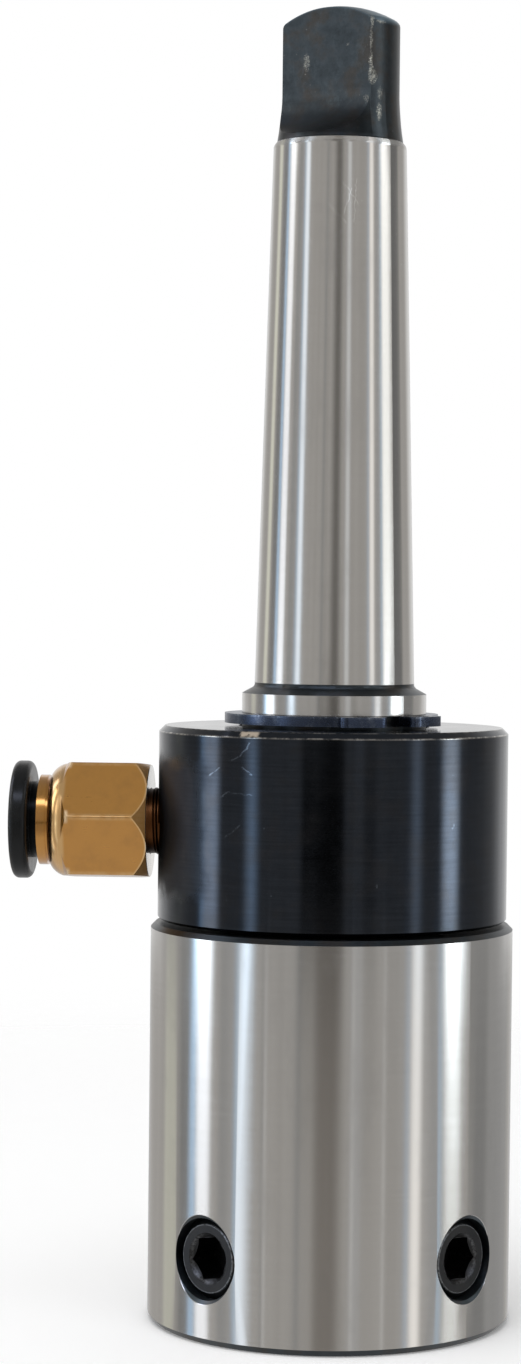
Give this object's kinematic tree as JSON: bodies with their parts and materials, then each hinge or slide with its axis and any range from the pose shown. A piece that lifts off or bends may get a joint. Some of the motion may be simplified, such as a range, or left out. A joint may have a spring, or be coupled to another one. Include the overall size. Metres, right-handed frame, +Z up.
{
  "type": "morse taper cutter adapter",
  "caption": "Morse taper arbor with a screw-clamped cutter socket, a coolant collar that turns on its journal, a push-in hose fitting and a sprung ejector.",
  "frame": {"origin": "centre of the cutter socket's mouth, in the plane of the arbor's lower face", "axes": "+Z up the spindle axis towards the tang, +X out through the side clamp screw, -Y out through the front clamp screw"},
  "size_m": [0.0701, 0.0652, 0.1986],
  "materials": {
    "arbor_steel": "ground",
    "spring_steel": "satin",
    "black_collar": "black oxide",
    "screw_steel": "black oxide",
    "plunger_steel": "turned",
    "fitting_brass": "turned",
    "sleeve_plastic": "gloss",
    "spacer_plastic": "moulded",
    "seal_rubber": "smooth"
  },
  "bodies": {
    "arbor_body": {"arbor": "arbor_steel", "retaining_ring": "spring_steel", "stop_ring": "spring_steel", "valve_seat": "fitting_brass", "ejector_spring": "spring_steel"},
    "collar_body": {"coolant_collar": "black_collar", "lower_seal": "seal_rubber", "upper_seal": "seal_rubber", "fitting_body": "fitting_brass", "guide_ring": "fitting_brass", "grip_ring": "spring_steel", "grip_spacer": "spacer_plastic", "tube_seal": "seal_rubber"},
    "sleeve_body": {"release_sleeve": "sleeve_plastic"},
    "front_screw_body": {"clamp_screw_front": "screw_steel"},
    "side_screw_body": {"clamp_screw_side": "screw_steel"},
    "ejector_body": {"ejector_plunger": "plunger_steel"}
  },
  "joints": [
    {"name": "collar_spin", "type": "hinge", "parent": "arbor_body", "child": "collar_body", "pos_m": [0, 0, 0.0752], "axis": [0, 0, 1], "continuous": true},
    {"name": "sleeve_press", "type": "slide", "parent": "collar_body", "child": "sleeve_body", "axis": [0.766, 0.6428, 0], "range_m": [0, 0.00115], "stiffness_N_per_m": 800, "springref_m": -0.0005},
    {"name": "front_screw_clamp", "type": "slide", "parent": "arbor_body", "child": "front_screw_body", "axis": [0, 1, 0], "range_m": [-0.0011, 0.0023]},
    {"name": "side_screw_clamp", "type": "slide", "parent": "arbor_body", "child": "side_screw_body", "axis": [-1, 0, 0], "range_m": [-0.0011, 0.0023]},
    {"name": "ejector_push", "type": "slide", "parent": "arbor_body", "child": "ejector_body", "axis": [0, 0, 1], "range_m": [0, 0.04], "stiffness_N_per_m": 2300, "springref_m": -0.01, "deforming": ["ejector_spring"]}
  ]
}
